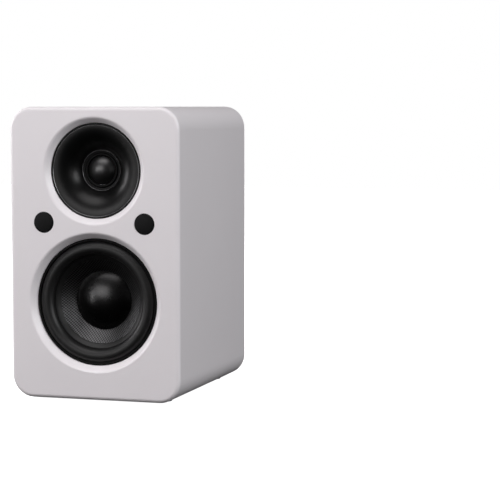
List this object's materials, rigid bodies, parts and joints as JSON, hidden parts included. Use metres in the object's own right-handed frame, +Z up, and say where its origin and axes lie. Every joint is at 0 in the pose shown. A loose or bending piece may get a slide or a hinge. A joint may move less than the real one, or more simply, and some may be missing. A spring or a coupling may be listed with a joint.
{
  "type": "bookshelf speaker",
  "caption": "Compact two-way bookshelf loudspeaker: rounded gloss box, horn-loaded dome over a woven-cone woofer, rear bass port and binding posts.",
  "frame": {"origin": "on the floor, under the middle of the speaker's width and depth", "axes": "+Z up, -Y out of the speaker's front, +X to the right seen from the front"},
  "size_m": [0.16, 0.1908, 0.2615],
  "materials": {
    "white_lacquer": "high-gloss white lacquer on fibreboard",
    "black_board": "satin black foil on fibreboard",
    "bare_board": "bare fibreboard",
    "felt": "grey damping felt",
    "soft_rubber": "matte black rubber",
    "foam": "closed-cell foam",
    "black_plastic": "satin black moulded plastic",
    "gloss_black": "high-gloss black",
    "woven_fibre": "woven twill fibre under clear resin",
    "dark_metal": "black anodised, polished",
    "cast_alloy": "black-painted cast alloy",
    "bright_alloy": "bright aluminium",
    "zinc_steel": "zinc-plated steel",
    "black_steel": "black oxide steel",
    "ferrite": "sintered ferrite",
    "copper": "enamelled copper wire",
    "gold_brass": "gold-plated brass",
    "cloth": "resin-dipped cloth",
    "dark_cloth": "coated black cloth",
    "red_plastic": "red moulded plastic",
    "dark_plastic": "black moulded plastic",
    "circuit_board": "green circuit board",
    "film_wrap": "yellow film wrap",
    "cement": "white cement case",
    "red_insulation": "red insulated wire",
    "black_insulation": "black insulated wire"
  },
  "bodies": {
    "cabinet": {"cabinet_shell": "white_lacquer", "front_baffle": "white_lacquer", "rear_panel": "black_board", "rear_panel_screws": "black_steel", "window_brace": "bare_board", "lining_left": "felt", "lining_right": "felt", "lining_top": "felt", "rubber_feet": "soft_rubber", "grille_plug_left": "soft_rubber", "grille_plug_right": "soft_rubber", "grille_magnets": "ferrite", "woofer_basket": "cast_alloy", "woofer_trim_ring": "soft_rubber", "woofer_gasket": "foam", "woofer_screws": "black_steel", "woofer_surround": "soft_rubber", "woofer_spider": "cloth", "woofer_top_plate": "zinc_steel", "woofer_magnet": "ferrite", "woofer_yoke": "zinc_steel", "woofer_terminals": "gold_brass", "tinsel_leads": "copper", "tweeter_waveguide": "black_plastic", "tweeter_gasket": "foam", "tweeter_screws": "black_steel", "tweeter_clamp_ring": "dark_metal", "tweeter_spacer_ring": "black_plastic", "tweeter_surround": "dark_cloth", "tweeter_top_plate": "zinc_steel", "tweeter_magnet": "ferrite", "tweeter_yoke": "zinc_steel", "tweeter_terminals": "gold_brass", "port_tube": "black_plastic", "terminal_cup": "black_plastic", "terminal_gasket": "foam", "terminal_screws": "black_steel", "post_black": "gold_brass", "post_red": "gold_brass", "post_nuts": "zinc_steel", "post_tags": "gold_brass", "crossover_board": "circuit_board", "board_standoffs": "black_plastic", "board_screws": "zinc_steel", "inductor_woofer": "copper", "inductor_tweeter": "copper", "capacitors": "film_wrap", "resistor": "cement", "black_wires": "black_insulation", "red_wires": "red_insulation"},
    "woofer_diaphragm": {"woofer_cone": "woven_fibre", "woofer_dust_cap": "gloss_black", "woofer_coil_former": "bright_alloy", "woofer_voice_coil": "copper"},
    "tweeter_diaphragm": {"tweeter_dome": "dark_metal", "tweeter_voice_coil": "copper"},
    "washer_black": {"washer_black": "gold_brass"},
    "knob_black": {"knob_black": "dark_plastic"},
    "washer_red": {"washer_red": "gold_brass"},
    "knob_red": {"knob_red": "red_plastic"}
  },
  "joints": [
    {"name": "woofer_excursion", "type": "slide", "parent": "cabinet", "child": "woofer_diaphragm", "axis": [0, 1, 0], "range_m": [-0.004, 0.004], "stiffness_N_per_m": 800, "deforming": ["woofer_surround", "woofer_spider", "tinsel_leads"]},
    {"name": "tweeter_excursion", "type": "slide", "parent": "cabinet", "child": "tweeter_diaphragm", "axis": [0, 1, 0], "range_m": [-0.0004, 0.0004], "stiffness_N_per_m": 150, "deforming": ["tweeter_surround"]},
    {"name": "washer_black_travel", "type": "slide", "parent": "cabinet", "child": "washer_black", "axis": [0, 1, 0], "range_m": [0, 0.00375]},
    {"name": "knob_black_turn", "type": "hinge", "parent": "washer_black", "child": "knob_black", "pos_m": [-0.00953, 0.0804, 0.0635], "axis": [0, 1, 0], "range_deg": [0, 1800]},
    {"name": "washer_red_travel", "type": "slide", "parent": "cabinet", "child": "washer_red", "axis": [0, 1, 0], "range_m": [0, 0.00375]},
    {"name": "knob_red_turn", "type": "hinge", "parent": "washer_red", "child": "knob_red", "pos_m": [0.00953, 0.0804, 0.0635], "axis": [0, 1, 0], "range_deg": [0, 1800]}
  ],
  "couplings": [
    {"joint": "knob_black_turn", "follows": "washer_black_travel", "rad_per_m": 8377.6},
    {"joint": "knob_red_turn", "follows": "washer_red_travel", "rad_per_m": 8377.6}
  ]
}
